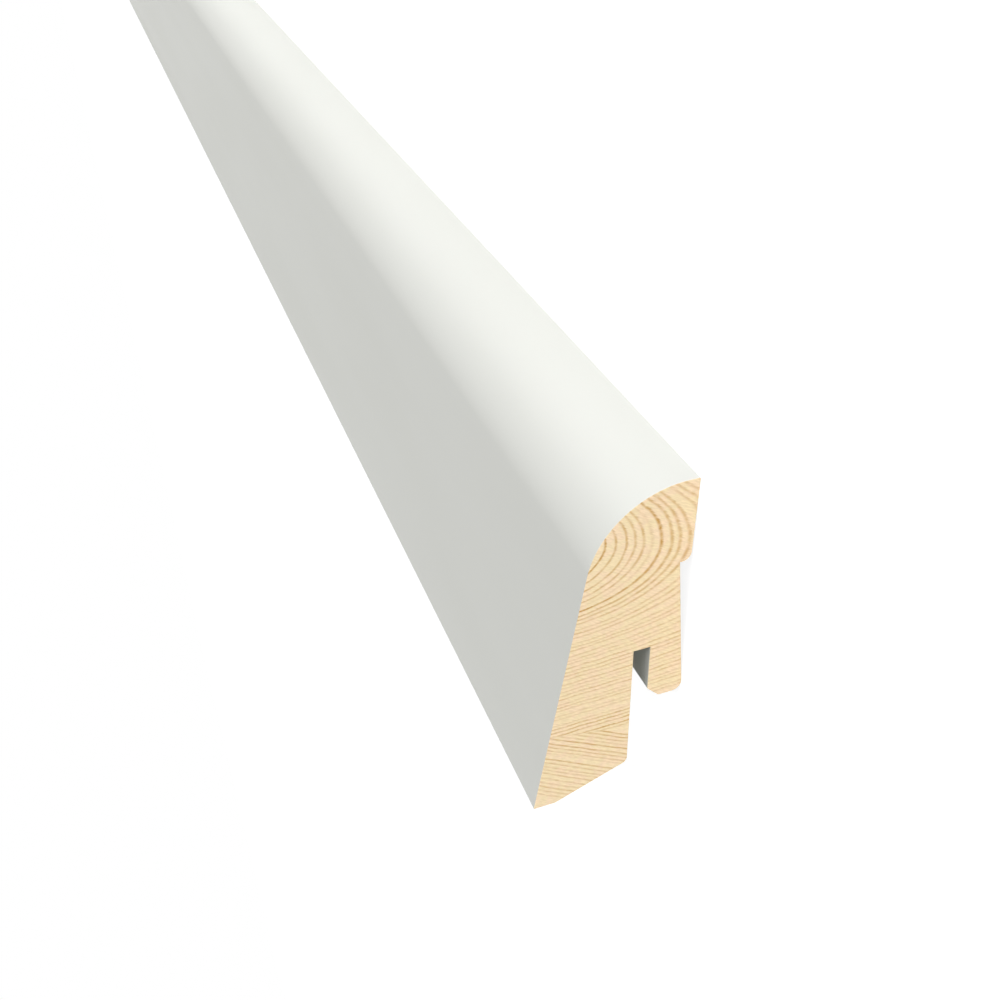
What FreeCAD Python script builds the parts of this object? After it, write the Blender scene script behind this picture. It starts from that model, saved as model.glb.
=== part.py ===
# Skirting board length in white-finished softwood, pushed onto clips that are screwed to the wall.
#
# It is one moulded stick: a leaning front with a large rounded crown, a bevelled foot, a groove
# for the clip and a back that touches the wall only at the lip and at the tongue.
# It lies on its back, as a loose length does on a level floor: the wall side is down.
# X runs along the board, Y from its foot to its top, Z out of the wall into the room.
# The section is drawn from the corner where the floor meets the wall.
# Lengths are in millimetres and angles in degrees.
import FreeCAD, Part
import Sketcher

import math
import os

SIZES = (
    ("board_length", 2500.0, "sold length, end to end"),
    ("board_height", 58.0, "foot to top"),
    ("board_depth", 25.0, "wall to the toe at the front of the foot"),
    ("front_lean", 10.2, "lean of the front face towards the wall"),
    ("top_land", 1.6, "flat at the very top, between the wall and the crown"),
    ("foot_width", 3.7, "flat under the toe that stands on the floor"),
    ("heel_angle", 21.4, "rise of the bevel behind the foot"),
    ("heel_radius", 1.2, "rounded corner between the heel bevel and the back of the leg"),
    ("tongue_height", 18.0, "floor to the end of the tongue"),
    ("tongue_depth", 5.95, "wall to the groove"),
    ("tongue_radius", 1.6, "rounded corner of the tongue that touches the wall"),
    ("tongue_lead_in", 2.0, "bevel that guides the clip into the groove"),
    ("groove_width", 2.8, "clip groove, from the tongue to the leg"),
    ("groove_depth", 10.65, "clip groove, above the end of the tongue"),
    ("recess_depth", 2.1, "hollow of the back under the lip, out from the wall"),
    ("lip_height", 14.25, "lip that meets the wall, from the top down"),
    ("lip_undercut", 1.4, "lean of the back of the lip, so that its tip touches first"),
    ("lip_radius", 1.5, "rounded lower corner of the lip"),
)

# A rounded corner takes at most this share of the narrow flat beside it.
FLAT_SHARE = 0.95
# Edges are matched to corners of the section within this distance.
MATCH = 0.001
# A rounded corner is first drawn bulging this far towards the sharp corner that it replaces.
BULGE = 0.4

doc = FreeCAD.newDocument("skirting_board_length")


def make_sheet():
    """The sizes above, one to a row, each under its own name."""
    sheet = doc.addObject("Spreadsheet::Sheet", "sizes")
    for row, (name, value, meaning) in enumerate(SIZES, 1):
        sheet.set(f"A{row}", name)
        sheet.set(f"B{row}", str(value))
        sheet.set(f"C{row}", meaning)
        sheet.setAlias(f"B{row}", name)
    doc.recompute()
    return sheet


def plane_across(body):
    """The body's own plane that cuts straight across the board."""
    for feature in body.Origin.OriginFeatures:
        if feature.Role == "YZ_Plane":
            return feature
    raise RuntimeError("the body has no plane across the board")


def new_sketch(body, name):
    """An empty sketch across the board: its x is the board's height, its y the way off the wall."""
    sketch = body.newObject("Sketcher::SketchObject", name)
    sketch.AttachmentSupport = [(plane_across(body), "")]
    sketch.MapMode = "FlatFace"
    return sketch


def place(height, off_wall):
    """A place in the section, up from the floor and off the wall."""
    return FreeCAD.Vector(height, off_wall, 0)


def add_line(sketch, start, end):
    """A straight line between two rough places, which the constraints then settle."""
    return sketch.addGeometry(Part.LineSegment(start, end), False)


def add_round(sketch, start, corner, end):
    """A rounded corner between two rough places, and which of the arc's own ends is at each of them."""
    middle = (start + end) / 2 * (1 - BULGE) + corner * BULGE
    number = sketch.addGeometry(Part.Arc(start, middle, end), False)
    starts_first = sketch.getPoint(number, 1).distanceToPoint(start) < MATCH
    return number, (1, 2) if starts_first else (2, 1)


def bind(sketch, kind, places, expression):
    """A dimension of the sketch that follows the sheet, which holds its angles in degrees."""
    value = sketch.evalExpression(expression)
    begin = math.radians(value) if kind == "Angle" else value
    number = sketch.addConstraint(Sketcher.Constraint(kind, *places, begin))
    sketch.setExpression(f"Constraints[{number}]", expression)


def draw_section(body, sizes):
    """The outline that the cutters leave, still without its groove and its small rounded corners."""
    lean = math.radians(sizes.front_lean)
    leg_depth = sizes.tongue_depth + sizes.groove_width
    heel_depth = sizes.board_depth - sizes.foot_width - leg_depth
    lip_foot = sizes.board_height - sizes.lip_height

    # Where each corner lies, or would lie if it were sharp.
    toe = place(0, sizes.board_depth)
    foot_back = place(0, sizes.board_depth - sizes.foot_width)
    heel_corner = place(heel_depth * math.tan(math.radians(sizes.heel_angle)), leg_depth)
    leg_top = place(sizes.tongue_height, leg_depth)
    tongue_front = place(sizes.tongue_height, sizes.tongue_radius)
    tongue_corner = place(sizes.tongue_height, 0)
    tongue_seat = place(sizes.tongue_height + sizes.tongue_radius, 0)
    lip_root = place(lip_foot, sizes.recess_depth)
    lip_corner = place(lip_foot, sizes.lip_height * math.tan(math.radians(sizes.lip_undercut)))
    lip_tip = place(sizes.board_height, 0)
    land_front = place(sizes.board_height, sizes.top_land)
    crown_corner = place(sizes.board_height, sizes.board_depth - sizes.board_height * math.tan(lean))
    front_top = crown_corner - place(math.cos(lean), -math.sin(lean)) * (crown_corner.y - sizes.top_land)

    sketch = new_sketch(body, "section")
    front = add_line(sketch, toe, front_top)
    crown, (crown_start, crown_end) = add_round(sketch, front_top, crown_corner, land_front)
    land = add_line(sketch, land_front, lip_tip)
    lip_back = add_line(sketch, lip_corner, lip_tip)
    lip_under = add_line(sketch, lip_corner, lip_root)
    back = add_line(sketch, lip_root, tongue_seat)
    tongue, (tongue_start, tongue_end) = add_round(sketch, tongue_seat, tongue_corner, tongue_front)
    tongue_end_face = add_line(sketch, tongue_front, leg_top)
    leg_back = add_line(sketch, leg_top, heel_corner)
    heel = add_line(sketch, foot_back, heel_corner)
    foot = add_line(sketch, foot_back, toe)

    start, end = 1, 2
    origin, wall, floor = (-1, 1), -1, -2
    for joined in (
        (land, end, lip_back, end),
        (lip_back, start, lip_under, start),
        (lip_under, end, back, start),
        (tongue_end_face, end, leg_back, start),
        (leg_back, end, heel, end),
        (heel, start, foot, start),
        (foot, end, front, start),
    ):
        sketch.addConstraint(Sketcher.Constraint("Coincident", *joined))
    for smooth in (
        (front, end, crown, crown_start),
        (crown, crown_end, land, start),
        (back, end, tongue, tongue_start),
        (tongue, tongue_end, tongue_end_face, start),
    ):
        sketch.addConstraint(Sketcher.Constraint("Tangent", *smooth))
    for square in (land, lip_under, tongue_end_face, foot):
        sketch.addConstraint(Sketcher.Constraint("Vertical", square))
    sketch.addConstraint(Sketcher.Constraint("Horizontal", leg_back))

    # The lip's tip and the tongue's rounded corner both touch the wall.
    sketch.addConstraint(Sketcher.Constraint("PointOnObject", land, end, wall))
    sketch.addConstraint(Sketcher.Constraint("Tangent", tongue, wall))
    # The foot stands on the floor.
    sketch.addConstraint(Sketcher.Constraint("PointOnObject", foot, end, floor))

    bind(sketch, "DistanceX", (*origin, land, end), "sizes.board_height")
    bind(sketch, "DistanceY", (*origin, foot, end), "sizes.board_depth")
    bind(sketch, "Angle", (front,), "-sizes.front_lean")
    bind(sketch, "DistanceY", (land, end, land, start), "sizes.top_land")
    bind(sketch, "DistanceY", (foot, start, foot, end), "sizes.foot_width")
    bind(sketch, "Angle", (heel,), "sizes.heel_angle - 90")
    bind(sketch, "DistanceX", (*origin, tongue_end_face, start), "sizes.tongue_height")
    bind(sketch, "Radius", (tongue,), "sizes.tongue_radius")
    bind(sketch, "DistanceY", (*origin, leg_back, start), "sizes.tongue_depth + sizes.groove_width")
    bind(sketch, "DistanceX", (lip_under, end, land, end), "sizes.lip_height")
    bind(sketch, "Angle", (lip_back,), "-sizes.lip_undercut")
    bind(sketch, "DistanceY", (*origin, lip_under, end), "sizes.recess_depth")
    doc.recompute()
    corners = {
        "heel": sketch.getPoint(heel, end),
        "lip": sketch.getPoint(lip_back, start),
    }
    return sketch, corners


def draw_groove(body, sizes):
    """The clip groove: from the end of the tongue up into the board, its front flush with the leg."""
    mouth_height = sizes.tongue_height
    ceiling_height = sizes.tongue_height + sizes.groove_depth
    tongue_depth = sizes.tongue_depth
    leg_depth = sizes.tongue_depth + sizes.groove_width

    sketch = new_sketch(body, "groove_section")
    tongue_side = add_line(sketch, place(mouth_height, tongue_depth), place(ceiling_height, tongue_depth))
    ceiling = add_line(sketch, place(ceiling_height, tongue_depth), place(ceiling_height, leg_depth))
    leg_side = add_line(sketch, place(ceiling_height, leg_depth), place(mouth_height, leg_depth))
    mouth = add_line(sketch, place(mouth_height, leg_depth), place(mouth_height, tongue_depth))

    start, end = 1, 2
    origin = (-1, 1)
    sides = (tongue_side, ceiling, leg_side, mouth)
    for side, following in zip(sides, sides[1:] + sides[:1]):
        sketch.addConstraint(Sketcher.Constraint("Coincident", side, end, following, start))
    for side in (tongue_side, leg_side):
        sketch.addConstraint(Sketcher.Constraint("Horizontal", side))
    for side in (ceiling, mouth):
        sketch.addConstraint(Sketcher.Constraint("Vertical", side))

    bind(sketch, "DistanceX", (*origin, tongue_side, start), "sizes.tongue_height")
    bind(sketch, "DistanceY", (*origin, tongue_side, start), "sizes.tongue_depth")
    bind(sketch, "DistanceX", (tongue_side, start, tongue_side, end), "sizes.groove_depth")
    bind(sketch, "DistanceY", (mouth, end, mouth, start), "sizes.groove_width")
    doc.recompute()
    return sketch, sketch.getPoint(tongue_side, start)


def long_edge(feature, corner):
    """The name of the edge that runs the board's length through this corner of the section."""
    for number, edge in enumerate(feature.Shape.Edges, 1):
        ends = [vertex.Point for vertex in edge.Vertexes]
        if all(abs(end.y - corner.x) < MATCH and abs(end.z - corner.y) < MATCH for end in ends):
            return f"Edge{number}"
    raise RuntimeError(f"no edge runs through the corner at {corner.x:.2f}, {corner.y:.2f}")


def dress_corner(body, kind, name, corner, size_name, expression):
    """A bevelled or rounded corner along the whole board, on the piece as cut so far."""
    base = body.Tip
    feature = body.newObject(f"PartDesign::{kind}", name)
    feature.Base = (base, [long_edge(base, corner)])
    feature.setExpression(size_name, expression)
    doc.recompute()
    return feature


def make_board(sizes):
    """The stick at its sold length, then its groove, then its small corners."""
    body = doc.addObject("PartDesign::Body", "skirting_board")
    body.Label = "skirting_board"

    section, corners = draw_section(body, sizes)
    stick = body.newObject("PartDesign::Pad", "moulded_stick")
    stick.Profile = section
    stick.Midplane = True
    stick.setExpression("Length", "sizes.board_length")
    section.Visibility = False
    doc.recompute()

    groove_section, tongue_corner = draw_groove(body, sizes)
    groove = body.newObject("PartDesign::Pocket", "clip_groove")
    groove.Profile = groove_section
    groove.Midplane = True
    groove.setExpression("Length", "sizes.board_length")
    groove.Refine = True
    groove_section.Visibility = False
    doc.recompute()

    dress_corner(body, "Chamfer", "tongue_bevel", tongue_corner, "Size", "sizes.tongue_lead_in")
    dress_corner(body, "Fillet", "heel_round", corners["heel"], "Radius", "sizes.heel_radius")
    lip_flat = "(sizes.recess_depth - sizes.lip_height * tan(sizes.lip_undercut))"
    dress_corner(body, "Fillet", "lip_round", corners["lip"], "Radius",
                 f"min(sizes.lip_radius; {FLAT_SHARE} * {lip_flat})")

    # The section's corner of floor and wall moves down, so that the board is centred on the origin.
    body.setExpression("Placement.Base.y", "-sizes.board_height / 2")
    doc.recompute()
    return body


def check(body):
    """Every feature has worked, and the board is one sound solid with its groove cut."""
    for item in doc.Objects:
        if "Invalid" in item.State or "Error" in item.State:
            raise RuntimeError(f"{item.Name} has failed: {item.State}")
    for item in doc.Objects:
        if item.isDerivedFrom("Sketcher::SketchObject") and not item.FullyConstrained:
            raise RuntimeError(f"{item.Name} is not fully constrained")
    shape = body.Shape
    if shape.isNull() or not shape.isValid() or len(shape.Solids) != 1:
        raise RuntimeError("the board is not one sound solid")
    stick = doc.getObject("moulded_stick").Shape
    grooved = doc.getObject("clip_groove").Shape
    if grooved.Volume >= stick.Volume:
        raise RuntimeError("the groove has cut nothing")


board = make_board(make_sheet())
check(board)

os.makedirs("parts", exist_ok=True)
board.Shape.exportStep(f"parts/{board.Label}.step")

box = board.Shape.BoundBox
print(f"length {box.XLength:.2f}, height {box.YLength:.2f}, depth {box.ZLength:.2f} mm")
print(f"section {board.Shape.Volume / box.XLength:.1f} mm2, {len(board.Shape.Faces)} faces")
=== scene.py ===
"""A length of white skirting board, lying on its back with its sawn end towards the viewer."""

import math
import random

import bmesh
import bpy
from mathutils import Matrix, Vector


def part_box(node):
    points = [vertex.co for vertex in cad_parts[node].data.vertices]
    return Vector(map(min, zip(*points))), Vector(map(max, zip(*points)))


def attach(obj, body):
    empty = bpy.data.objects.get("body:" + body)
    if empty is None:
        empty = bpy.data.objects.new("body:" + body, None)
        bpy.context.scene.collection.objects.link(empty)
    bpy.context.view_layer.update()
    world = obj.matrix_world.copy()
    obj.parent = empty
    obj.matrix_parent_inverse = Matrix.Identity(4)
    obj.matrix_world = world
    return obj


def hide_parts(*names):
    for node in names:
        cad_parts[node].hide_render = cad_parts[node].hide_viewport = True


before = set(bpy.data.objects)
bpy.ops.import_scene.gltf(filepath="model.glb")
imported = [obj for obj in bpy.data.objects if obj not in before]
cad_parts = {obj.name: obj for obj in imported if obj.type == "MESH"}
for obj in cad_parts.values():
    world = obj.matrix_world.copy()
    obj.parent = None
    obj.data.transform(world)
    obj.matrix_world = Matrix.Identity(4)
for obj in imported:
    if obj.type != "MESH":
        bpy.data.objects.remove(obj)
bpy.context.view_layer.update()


# The viewer
# Close to the right-hand sawn end, a little above the crown, looking down the board towards its far end.
# The picture is held turned, with the board's top edge up in it, although the board lies on its back.
scene = bpy.context.scene
low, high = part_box("skirting_board")
CAMERA_PLACE = Vector((high.x + 0.11603, 0.11818, 0.07077))
SIGHT = Vector((-0.77457, -0.56971, -0.27474)).normalized()
ROLL = -0.02174
LENS_MM = 41.642
SENSOR_MM = 36
NEAREST_SEEN = 0.01

across = SIGHT.cross(Vector((0, 1, 0))).normalized()
upright = across.cross(SIGHT)
camera = bpy.data.objects.new("camera", bpy.data.cameras.new("camera"))
camera.data.lens = LENS_MM
camera.data.sensor_width = SENSOR_MM
camera.data.clip_start = NEAREST_SEEN
camera.matrix_world = (
    Matrix.Translation(CAMERA_PLACE)
    @ Matrix((across, upright, -SIGHT)).transposed().to_4x4()
    @ Matrix.Rotation(ROLL, 4, "Z")
)
scene.collection.objects.link(camera)
scene.camera = camera
scene.view_settings.view_transform = "Standard"


# The floor and the light
# A plain pale floor without a visible edge, in an evenly lit room, and five lamps.
# Two stand high, a broad one on the side of the top edge and a smaller one on the side of the foot.
# Three near the floor face the two ends and the top edge.
FLOOR_SIZE = 12.0
FLOOR_COLOUR = (0.6, 0.6, 0.6, 1)
SHADED_SHARE = (0.4, 0.4, 0.4, 1)
FLOOR_GLOW = 0.88
ROOM_STRENGTH = 0.12


def shader_node(tree, kind, **values):
    """A node with its own settings, and with numbers or colours on its named sockets."""
    made = tree.nodes.new("ShaderNode" + kind)
    for name, value in values.items():
        if hasattr(made, name):
            setattr(made, name, value)
        else:
            made.inputs[name.replace("_", " ")].default_value = value
    return made


floor_mesh = bmesh.new()
bmesh.ops.create_grid(floor_mesh, x_segments=1, y_segments=1, size=FLOOR_SIZE / 2)
bmesh.ops.translate(floor_mesh, verts=floor_mesh.verts, vec=(0, 0, low.z))
floor = bpy.data.objects.new("floor", bpy.data.meshes.new("floor"))
floor_mesh.to_mesh(floor.data)
floor_mesh.free()
scene.collection.objects.link(floor)

paper = bpy.data.materials.new("pale floor")
paper.use_nodes = True
nodes, links = paper.node_tree.nodes, paper.node_tree.links
nodes.clear()
path = shader_node(paper.node_tree, "LightPath")
matt = shader_node(paper.node_tree, "BsdfDiffuse", Color=FLOOR_COLOUR)
shaded = shader_node(paper.node_tree, "BsdfDiffuse", Color=SHADED_SHARE)
glow = shader_node(paper.node_tree, "Emission", Strength=FLOOR_GLOW)
both = shader_node(paper.node_tree, "AddShader")
links.new(shaded.outputs[0], both.inputs[0])
links.new(glow.outputs[0], both.inputs[1])
seen = shader_node(paper.node_tree, "MixShader")
links.new(path.outputs["Is Camera Ray"], seen.inputs[0])
links.new(matt.outputs[0], seen.inputs[1])
links.new(both.outputs[0], seen.inputs[2])
end = shader_node(paper.node_tree, "OutputMaterial")
links.new(seen.outputs[0], end.inputs["Surface"])
floor.data.materials.append(paper)

room = bpy.data.worlds.new("even room")
scene.world = room
room.use_nodes = True
nodes, links = room.node_tree.nodes, room.node_tree.links
nodes.clear()
path = shader_node(room.node_tree, "LightPath")
mirrored = shader_node(room.node_tree, "Math", operation="MAXIMUM")
links.new(path.outputs["Is Glossy Ray"], mirrored.inputs[0])
links.new(path.outputs["Is Transmission Ray"], mirrored.inputs[1])
shown = shader_node(room.node_tree, "Math", operation="MAXIMUM")
links.new(path.outputs["Is Camera Ray"], shown.inputs[0])
links.new(mirrored.outputs[0], shown.inputs[1])
lighting = shader_node(room.node_tree, "Background", Color=(1, 1, 1, 1), Strength=ROOM_STRENGTH)
backdrop = shader_node(room.node_tree, "Background", Color=(1, 1, 1, 1), Strength=1.0)
seen = shader_node(room.node_tree, "MixShader")
links.new(shown.outputs[0], seen.inputs[0])
links.new(lighting.outputs[0], seen.inputs[1])
links.new(backdrop.outputs[0], seen.inputs[2])
end = shader_node(room.node_tree, "OutputWorld")
links.new(seen.outputs[0], end.inputs["Surface"])

# Each lamp: its name, the way it stands from the board, its height in degrees, strength and breadth.
for name, stands, elevation, strength, breadth in (
    ("high_lamp", Vector((0.25, 1, 0)), 40, 1.42, 40),
    ("top_side_lamp", Vector((0, 1, 0)), 1, 2.0, 5),
    ("end_lamp", Vector((1, 0, 0)), 0.5, 2.12, 1),
    ("foot_side_lamp", Vector((0, -1, 0)), 40, 0.68, 10),
    ("far_end_lamp", Vector((-1, -0.1, 0)), 0.5, 2.0, 1),
):
    lamp = bpy.data.objects.new(name, bpy.data.lights.new(name, "SUN"))
    lamp.data.energy = strength
    lamp.data.angle = math.radians(breadth)
    towards = stands * math.cos(math.radians(elevation))
    towards.z = math.sin(math.radians(elevation))
    lamp.rotation_euler = towards.to_track_quat("Z", "Y").to_euler()
    scene.collection.objects.link(lamp)


# The board
# One stick of softwood, glued up from two lamellae, run through a moulder and finished white all round.
# The ends are sawn square after that, so they are bare and show the growth rings.
MM = 0.001
FRONT_LEAN = math.radians(10.2)
TOP_LAND = 1.6 * MM
FOOT_WIDTH = 3.7 * MM
HEEL_ANGLE = math.radians(21.4)
HEEL_RADIUS = 1.2 * MM
TONGUE_HEIGHT = 18.0 * MM
TONGUE_DEPTH = 5.95 * MM
TONGUE_RADIUS = 1.6 * MM
TONGUE_LEAD_IN = 2.0 * MM
GROOVE_WIDTH = 2.8 * MM
GROOVE_DEPTH = 10.65 * MM
RECESS_DEPTH = 2.1 * MM
LIP_HEIGHT = 14.25 * MM
LIP_UNDERCUT = math.radians(1.4)
LIP_RADIUS = 1.5 * MM
CROWN_STEPS = 36
CORNER_STEPS = 10
ARRIS = 0.15 * MM
ARRIS_STEPS = 3
SAWN_EDGE = 0.05 * MM
SHARP = math.radians(30)
CREASED = math.radians(40)
MOSTLY_ALONG = 0.5

# The outline's corners before rounding, in the board's height and its way off the wall.
toe = Vector((low.y, high.z))
foot_back = toe - Vector((0, FOOT_WIDTH))
leg_back = TONGUE_DEPTH + GROOVE_WIDTH
heel = Vector((low.y + (foot_back.y - leg_back) * math.tan(HEEL_ANGLE), leg_back))
tongue_end = low.y + TONGUE_HEIGHT
groove_top = tongue_end + GROOVE_DEPTH
lip_under = high.y - LIP_HEIGHT
lip_root = Vector((lip_under, RECESS_DEPTH))

# The back runs from the lip's root, so that it is tangent to the tongue's rounded corner.
from_round = lip_root - Vector((tongue_end + TONGUE_RADIUS, TONGUE_RADIUS))
back_slope = math.atan2(from_round.y, from_round.x) + math.asin(TONGUE_RADIUS / from_round.length)
tongue_tip = Vector((tongue_end, RECESS_DEPTH - (lip_under - tongue_end) * math.tan(back_slope)))

# The crown is tangent to the front and to the land at the very top.
crown_corner = Vector((high.y, high.z - (high.y - low.y) * math.tan(FRONT_LEAN)))
crown_radius = (crown_corner.y - TOP_LAND) / math.tan((math.pi / 2 - FRONT_LEAN) / 2)

# Each corner of the outline in turn, its radius and the steps of its rounding.
OUTLINE = (
    (toe, 0, 0),
    (foot_back, 0, 0),
    (heel, HEEL_RADIUS, CORNER_STEPS),
    (Vector((groove_top, leg_back)), 0, 0),
    (Vector((groove_top, TONGUE_DEPTH)), 0, 0),
    (Vector((tongue_end + TONGUE_LEAD_IN, TONGUE_DEPTH)), 0, 0),
    (Vector((tongue_end, TONGUE_DEPTH - TONGUE_LEAD_IN)), 0, 0),
    (tongue_tip, TONGUE_RADIUS, CORNER_STEPS),
    (lip_root, 0, 0),
    (Vector((lip_under, LIP_HEIGHT * math.tan(LIP_UNDERCUT))), LIP_RADIUS, CORNER_STEPS),
    (Vector((high.y, low.z)), 0, 0),
    (crown_corner, crown_radius, CROWN_STEPS),
)


def draw_corner(shape, before, corner, after, radius, steps):
    """A sharp corner's vertex, or the vertices of a round that is tangent to both of its sides."""
    if not radius:
        return [shape.verts.new((high.x, *corner))]
    arriving, leaving = (corner - before).normalized(), (after - corner).normalized()
    turn = leaving.angle_signed(arriving)
    side = Vector((-arriving.y, arriving.x)) * math.copysign(radius, turn)
    first = corner - arriving * radius * abs(math.tan(turn / 2))
    drawn = len(shape.verts)
    start = shape.verts.new((high.x, *first))
    bmesh.ops.spin(
        shape, geom=[start], cent=(high.x, *(first + side)), axis=(1, 0, 0), angle=turn, steps=steps
    )
    return list(shape.verts)[drawn:]


def runs_along(edge):
    """Whether an edge runs the board's length."""
    return abs(edge.verts[0].co.x - edge.verts[1].co.x) > SAWN_EDGE * 2


shape = bmesh.new()
rim = []
for number, (corner, radius, steps) in enumerate(OUTLINE):
    before, after = OUTLINE[number - 1][0], OUTLINE[(number + 1) % len(OUTLINE)][0]
    rim += draw_corner(shape, before, corner, after, radius, steps)
for this, following in zip(rim, rim[1:] + rim[:1]):
    if not shape.edges.get((this, following)):
        shape.edges.new((this, following))
bmesh.ops.contextual_create(shape, geom=shape.edges)
stick = bmesh.ops.extrude_face_region(shape, geom=shape.faces)
far_end = [item for item in stick["geom"] if isinstance(item, bmesh.types.BMVert)]
bmesh.ops.translate(shape, verts=far_end, vec=(low.x - high.x, 0, 0))
bmesh.ops.recalc_face_normals(shape, faces=shape.faces)

# The moulder leaves the long outer corners a little soft, and the saw leaves the ends crisp.
outer_corners = [
    edge for edge in shape.edges
    if runs_along(edge) and edge.is_convex and edge.calc_face_angle() > SHARP
]
bmesh.ops.bevel(shape, geom=outer_corners, offset=ARRIS, affect="EDGES", segments=ARRIS_STEPS,
                profile=0.5, material=-1)
COATED, SAWN = 0, 1
for face in shape.faces:
    face.material_index = SAWN if abs(face.normal.x) > MOSTLY_ALONG else COATED
sawn_corners = [
    edge for edge in shape.edges
    if edge.link_faces[0].material_index != edge.link_faces[1].material_index
]
bmesh.ops.bevel(shape, geom=sawn_corners, offset=SAWN_EDGE, affect="EDGES", segments=1,
                profile=0.5, material=SAWN)
for face in shape.faces:
    face.smooth = True
for edge in shape.edges:
    edge.smooth = edge.calc_face_angle() < CREASED

# Laid out flat for its texture: both ends large, for their fine rings, beside the sides as one strip.
MARGIN = 0.01
END_SHARE = 0.9
end_scale = END_SHARE / (high.y - low.y)
end_width = end_scale * (high.z - low.z)
laid_out = shape.loops.layers.uv.new("OFBake")
sides = [face for face in shape.faces if face.material_index == COATED]
for face in shape.faces:
    if face not in sides:
        left = MARGIN if face.calc_center_median().x > 0 else 2 * MARGIN + end_width
        for loop in face.loops:
            place = loop.vert.co
            loop[laid_out].uv = (
                left + (place.z - low.z) * end_scale,
                MARGIN + (place.y - low.y) * end_scale,
            )

girth = sum(min(edge.calc_length() for edge in side.edges) for side in sides)
strip_left = 3 * MARGIN + 2 * end_width
strip_scale = (1 - MARGIN - strip_left) / girth
length_scale = (1 - 2 * MARGIN) / (high.x - low.x)
side = sides[0]
seam = next(edge for edge in side.edges if runs_along(edge))
unrolled = 0.0
for turn in sides:
    width = min(edge.calc_length() for edge in side.edges)
    for loop in side.loops:
        round_place = unrolled if loop.vert in seam.verts else unrolled + width
        loop[laid_out].uv = (
            strip_left + round_place * strip_scale,
            MARGIN + (loop.vert.co.x - low.x) * length_scale,
        )
    unrolled += width
    seam = next(edge for edge in side.edges if runs_along(edge) and edge != seam)
    side = next(face for face in seam.link_faces if face != side)

board = bpy.data.objects.new("moulded_board", bpy.data.meshes.new("moulded_board"))
shape.to_mesh(board.data)
shape.free()
scene.collection.objects.link(board)
flats = board.modifiers.new("flat_faces_stay_flat", "WEIGHTED_NORMAL")
flats.keep_sharp = True


class Measured:
    """A number that a material's nodes find at each place of the board, for use in plain sums."""

    def __init__(self, socket):
        self.socket = socket
        self.tree = socket.id_data

    def worked(self, operation, *values):
        """A sum of nodes' results and plain numbers."""
        made = shader_node(self.tree, "Math", operation=operation)
        for socket, value in zip(made.inputs, values):
            if isinstance(value, Measured):
                self.tree.links.new(value.socket, socket)
            else:
                socket.default_value = value
        return Measured(made.outputs[0])

    def __add__(self, other):
        return self.worked("ADD", self, other)

    def __sub__(self, other):
        return self.worked("SUBTRACT", self, other)

    def __rsub__(self, other):
        return self.worked("SUBTRACT", other, self)

    def __mul__(self, other):
        return self.worked("MULTIPLY", self, other)

    def __truediv__(self, other):
        return self.worked("DIVIDE", self, other)

    def __abs__(self):
        return self.worked("ABSOLUTE", self)

    def at_least(self, other):
        """This number, or a limit where it is less."""
        return self.worked("MAXIMUM", self, other)

    def at_most(self, other):
        """This number, or a limit where it is more."""
        return self.worked("MINIMUM", self, other)

    def far_from(self, other):
        """The long side of the right angle that this number and another make."""
        return self.worked("SQRT", self * self + other * other)

    def graded(self, start, stop, low_end, high_end):
        """This number carried over softly from one range to another, and held at both ends."""
        made = shader_node(self.tree, "MapRange", interpolation_type="SMOOTHSTEP", From_Min=start,
                           From_Max=stop, To_Min=low_end, To_Max=high_end)
        self.tree.links.new(self.socket, made.inputs["Value"])
        return Measured(made.outputs[0])

    def blend(self, colour, other):
        """Two colours, or other nodes' colours, with this number as the share of the second."""
        made = shader_node(self.tree, "Mix", data_type="RGBA")
        self.tree.links.new(self.socket, made.inputs[0])
        for socket, value in ((made.inputs[6], colour), (made.inputs[7], other)):
            if isinstance(value, bpy.types.NodeSocket):
                self.tree.links.new(value, socket)
            else:
                socket.default_value = (*value, 1)
        return made.outputs[2]


def cloudy(tree, along, height, depth, detail=2, turn=0.0, part=0.0):
    """Soft noise of so many clouds to the metre each way, turned in the plane of the sawn end."""
    turned = shader_node(tree, "Mapping", vector_type="TEXTURE", Location=(part, 0, 0),
                         Rotation=(turn, 0, 0), Scale=(1 / along, 1 / height, 1 / depth))
    noise = shader_node(tree, "TexNoise", Scale=1, Detail=detail)
    tree.links.new(shader_node(tree, "TexCoord").outputs["Object"], turned.inputs["Vector"])
    tree.links.new(turned.outputs[0], noise.inputs["Vector"])
    return Measured(noise.outputs["Fac"])


def surface(colour, roughness, relief, relief_height, gloss):
    """A material's whole surface, from its nodes' colour, roughness and relief."""
    tree = roughness.tree
    shader = tree.nodes["Principled BSDF"]
    shader.inputs["Specular IOR Level"].default_value = gloss
    bump = shader_node(tree, "Bump", Distance=relief_height)
    tree.links.new(relief.socket, bump.inputs["Height"])
    tree.links.new(colour, shader.inputs["Base Color"])
    tree.links.new(roughness.socket, shader.inputs["Roughness"])
    tree.links.new(bump.outputs[0], shader.inputs["Normal"])


# The white finish is a satin paint film, sprayed and sanded along the board.
# Its noises are counted in clouds to the metre, along the board, up it and away from the wall.
WHITE = (0.857, 0.866, 0.822)
WHITE_THIN = (0.843, 0.852, 0.806)
THIN_CLOUDS = (9, 40, 40)
THIN_SPAN = (0.35, 0.7)
STREAK_CLOUDS = (3, 260, 260)
STREAK_SPAN = (0.3, 0.7)
FINISH_ROUGHNESS = (0.52, 0.62)
FINISH_RELIEF = 0.02 * MM
FINISH_GLOSS = 0.12

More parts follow.
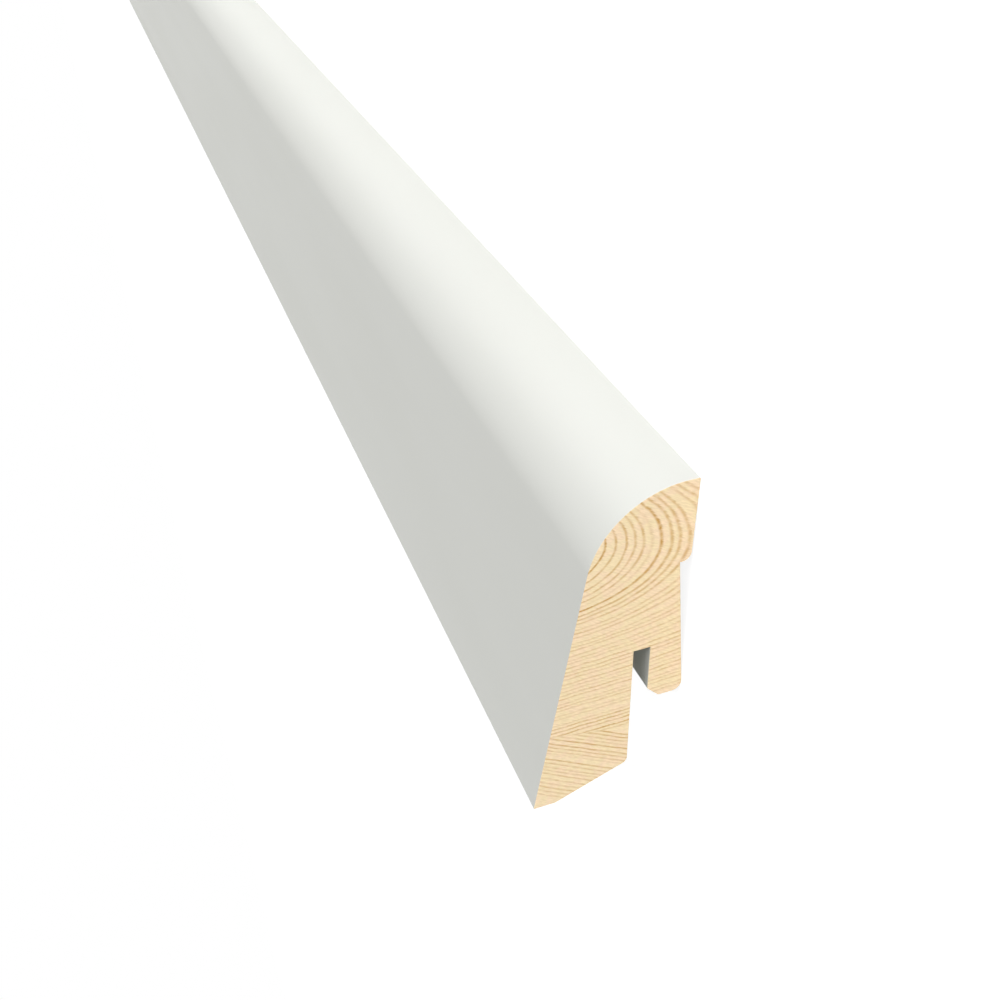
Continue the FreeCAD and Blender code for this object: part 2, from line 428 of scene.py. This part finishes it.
finish = bpy.data.materials.new("white satin finish")
finish.use_nodes = True
tree = finish.node_tree
thinness = cloudy(tree, *THIN_CLOUDS).graded(*THIN_SPAN, 0, 1)
streaks = cloudy(tree, *STREAK_CLOUDS, detail=3)
roughness = streaks.graded(*STREAK_SPAN, *FINISH_ROUGHNESS)
surface(thinness.blend(WHITE, WHITE_THIN), roughness, streaks, FINISH_RELIEF, FINISH_GLOSS)
board.data.materials.append(finish)

# The sawn ends show pale early wood, and the late wood as a darker line at the close of each year.
# Their lengths are in millimetres: depth is counted back from the toe, and height up from the foot.
sawn = bpy.data.materials.new("sawn softwood")
sawn.use_nodes = True
tree = sawn.node_tree
split = shader_node(tree, "SeparateXYZ")
tree.links.new(shader_node(tree, "TexCoord").outputs["Object"], split.inputs[0])
depth = (high.z - Measured(split.outputs[2])) * (1 / MM)
height = (Measured(split.outputs[1]) - low.y) * (1 / MM)

# The saw's teeth have drawn the fibres into short strokes, which also make the lines a little ragged.
# The lines wave a little too, because the tree didn't grow quite round.
NOISE_MIDDLE = 0.5
STROKE_CLOUDS = (60, 4200, 900)
STROKE_TURN = math.radians(-27)
RAGGEDNESS = 0.3
WAVE_CLOUDS = (60, 220, 220)
FIRST_WAVE = 0.45
SECOND_WAVE = 0.4
strokes = cloudy(tree, *STROKE_CLOUDS, turn=STROKE_TURN, part=5)
ragged = (strokes - NOISE_MIDDLE) * RAGGEDNESS
sway = cloudy(tree, *WAVE_CLOUDS, detail=1) - NOISE_MIDDLE
lift = cloudy(tree, *WAVE_CLOUDS, detail=1, part=7) - NOISE_MIDDLE

# The upper lamella's rings lie about a pith, the larger the flatter and the lower.
PITH_DEPTH = 4.0
PITH_HEIGHT = 51.9
PITH_DRIFT = 0.218
RING_PITCH = 0.86
FLAT_BELOW = 0.82
FLATTER_BELOW = 0.0535
FLAT_ABOVE = 0.97
FLATTER_ABOVE = 0.023
FLAT_GUESS = 1.5
ROUNDS = 4


def first_years(depth, height):
    """How many years the upper lamella's wood is from its pith, worked out closer in a few rounds."""
    aside = depth - PITH_DEPTH
    size = aside.far_from((PITH_HEIGHT - height) * FLAT_GUESS)
    for closer in range(ROUNDS):
        drop = PITH_HEIGHT - size * PITH_DRIFT - height
        flat_below = size * FLATTER_BELOW + FLAT_BELOW
        flat_above = size * FLATTER_ABOVE + FLAT_ABOVE
        size = aside.far_from(drop.at_least(0) * flat_below + drop.at_most(0) * flat_above)
    return (size / flat_below + size * PITH_DRIFT) * (1 / RING_PITCH)


def late_wood(places, rings, breadth):
    """How dark the late wood is: a soft line at each ring's place."""
    lines = [abs(places - place).graded(0, breadth, darkness, 0) for place, darkness in rings]
    return sum(lines[1:], lines[0])


# The rings of the crown and those by the glue line one by one, each as its year and its darkness.
CROWN_RINGS = [
    (8.35, 0.85), (9.75, 0.6), (11.1, 0.6), (12.15, 0.5), (13.1, 0.55), (13.95, 0.2), (14.9, 0.9),
    (15.9, 0.6), (16.65, 0.55), (17.45, 0.55),
]
GLUE_RINGS = [(40.1, 0.3), (40.9, 0.6), (41.8, 0.65), (42.7, 0.65), (43.8, 0.8), (44.6, 0.4)]

# The plainer rings between them come at even steps, each a little early or late.
PLAIN_RINGS = 23
PLAIN_START = 18.7
PLAIN_STEP = 0.9
PLAIN_SHIFT = 0.2
PLAIN_DARKNESS = (0.28, 0.5)
FIRST_BREADTH = 0.3
draw = random.Random(9)
plain_rings = []
for number in range(PLAIN_RINGS):
    year = PLAIN_START + PLAIN_STEP * number + draw.uniform(-PLAIN_SHIFT, PLAIN_SHIFT)
    plain_rings.append((year, draw.uniform(*PLAIN_DARKNESS)))
years = first_years(depth + sway * FIRST_WAVE + ragged, height + lift * FIRST_WAVE + ragged)
first_late = late_wood(years, CROWN_RINGS + plain_rings + GLUE_RINGS, FIRST_BREADTH)

# The second lamella's rings are almost straight, fall to the right and spread out a little.
# Each is given as its height over the lamella's middle, and its darkness.
SECOND_TURN = math.radians(30)
SECOND_MIDDLE = 8.0
SECOND_FAN = 200.0
SECOND_BREADTH = 0.26
SECOND_RINGS = (
    (-7.7, 0.35), (-6.9, 0.35), (-6.1, 0.5), (-5.3, 0.35), (-4.4, 0.4), (-3.4, 0.45), (-2.7, 0.35),
    (-2.1, 0.35), (-1.3, 0.4), (-0.5, 0.6), (0.7, 0.2), (1.3, 0.4), (2.0, 0.45), (2.7, 0.65),
    (3.7, 0.7), (4.4, 0.35), (5.1, 0.45), (5.8, 0.65), (6.5, 0.7),
)
right = depth + sway * SECOND_WAVE - SECOND_MIDDLE
up = height + lift * SECOND_WAVE - SECOND_MIDDLE
sideways = right * math.cos(SECOND_TURN) - up * math.sin(SECOND_TURN)
outwards = right * math.sin(SECOND_TURN) + up * math.cos(SECOND_TURN)
fanned = outwards / (sideways * (1 / SECOND_FAN) + 1)
second_late = late_wood(fanned, SECOND_RINGS, SECOND_BREADTH)

# The glue line has no colour of its own: one lamella's rings stop there, and the other's begin.
GLUE_HEIGHT = 15.85
GLUE_SLOPE = -0.19
GLUE_BLUR = 0.08
second = (depth * GLUE_SLOPE + GLUE_HEIGHT - height).graded(-GLUE_BLUR, GLUE_BLUR, 0, 1)

# The late wood fades and deepens along its lines, and the early wood is pinker here and there.
EARLY_WOOD = (0.875, 0.716, 0.455)
EARLY_PINK = (0.895, 0.697, 0.478)
PINK_CLOUDS = (60, 420, 420)
PINK_SPAN = (0.4, 0.62)
LATE_WOOD = (0.56, 0.315, 0.085)
FADE_CLOUDS = (60, 900, 420)
FADE_SPAN = (0.35, 0.65)
FADE_STRENGTH = (0.65, 1.2)
# The strokes' darker and lighter tone is painted shade and painted light on the saw-torn fibres, laid
# into the wood's colour; the bump also gives the strokes some real relief.
STROKE_SPAN = (0.3, 0.7)
STROKE_PAINTED_SHADE = (0.94, 0.93, 0.91)
STROKE_PAINTED_LIGHT = (1.06, 1.07, 1.09)
WOOD_ROUGHNESS = (0.85, 0.7)
WOOD_RELIEF = 0.03 * MM
WOOD_GLOSS = 0.2
comes_and_goes = cloudy(tree, *FADE_CLOUDS, part=11).graded(*FADE_SPAN, *FADE_STRENGTH)
late = ((first_late * (1 - second) + second_late * second) * comes_and_goes).at_most(1)
pinkness = cloudy(tree, *PINK_CLOUDS, detail=3, part=17).graded(*PINK_SPAN, 0, 1)
wood = late.blend(pinkness.blend(EARLY_WOOD, EARLY_PINK), LATE_WOOD)
toned = shader_node(tree, "VectorMath", operation="MULTIPLY")
tree.links.new(wood, toned.inputs[0])
# Painted shade and painted light of the saw strokes, as a tone over the wood's colour.
stroke_painted_shading = strokes.graded(*STROKE_SPAN, 0, 1).blend(STROKE_PAINTED_SHADE, STROKE_PAINTED_LIGHT)
tree.links.new(stroke_painted_shading, toned.inputs[1])
roughness = late.graded(0, 1, *WOOD_ROUGHNESS)
surface(toned.outputs[0], roughness, strokes + late, WOOD_RELIEF, WOOD_GLOSS)
board.data.materials.append(sawn)

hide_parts("skirting_board")
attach(board, "root")
